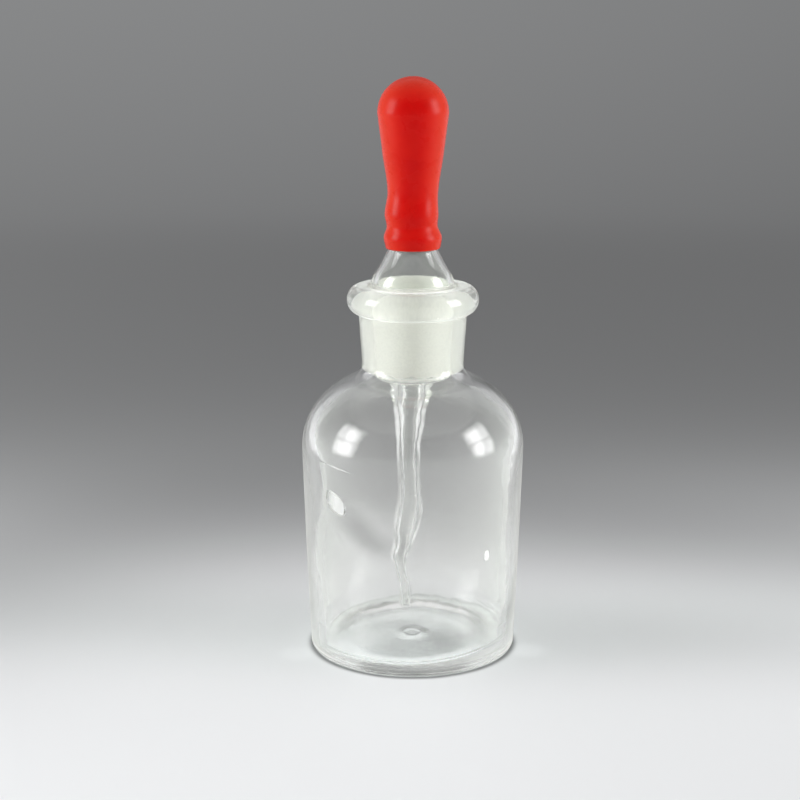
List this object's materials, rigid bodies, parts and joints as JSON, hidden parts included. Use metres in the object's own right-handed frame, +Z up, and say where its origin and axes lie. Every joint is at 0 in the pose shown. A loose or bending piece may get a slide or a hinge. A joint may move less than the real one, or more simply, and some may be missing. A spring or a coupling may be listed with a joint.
{
  "type": "glass dropper bottle",
  "caption": "Clear glass dropping bottle with a domed shoulder and flanged mouth, closed by a ground glass pipette stopper with a red rubber teat.",
  "frame": {"origin": "centre of the bottle's standing ring, on the surface that it stands on", "axes": "+Z up along the bottle's axis, towards the teat; the drawn tube wanders towards -X"},
  "size_m": [0.0458, 0.0458, 0.1182],
  "materials": {
    "bottle_glass": "clear moulded soda-lime glass, faint green at the thick edges, ground matt inside the neck",
    "pipette_glass": "clear drawn glass, ground matt on the stopper's cone",
    "red_rubber": "smooth moulded rubber with a soft sheen"
  },
  "bodies": {
    "bottle": {"bottle": "bottle_glass"},
    "pipette": {"pipette": "pipette_glass"},
    "teat": {"teat": "red_rubber"}
  },
  "joints": [
    {"name": "pipette_lift", "type": "slide", "parent": "bottle", "child": "pipette", "axis": [0, 0, 1], "range_m": [0, 0.075]},
    {"name": "teat_pull_off", "type": "slide", "parent": "pipette", "child": "teat", "axis": [0, 0, 1], "range_m": [0, 0.02]}
  ]
}
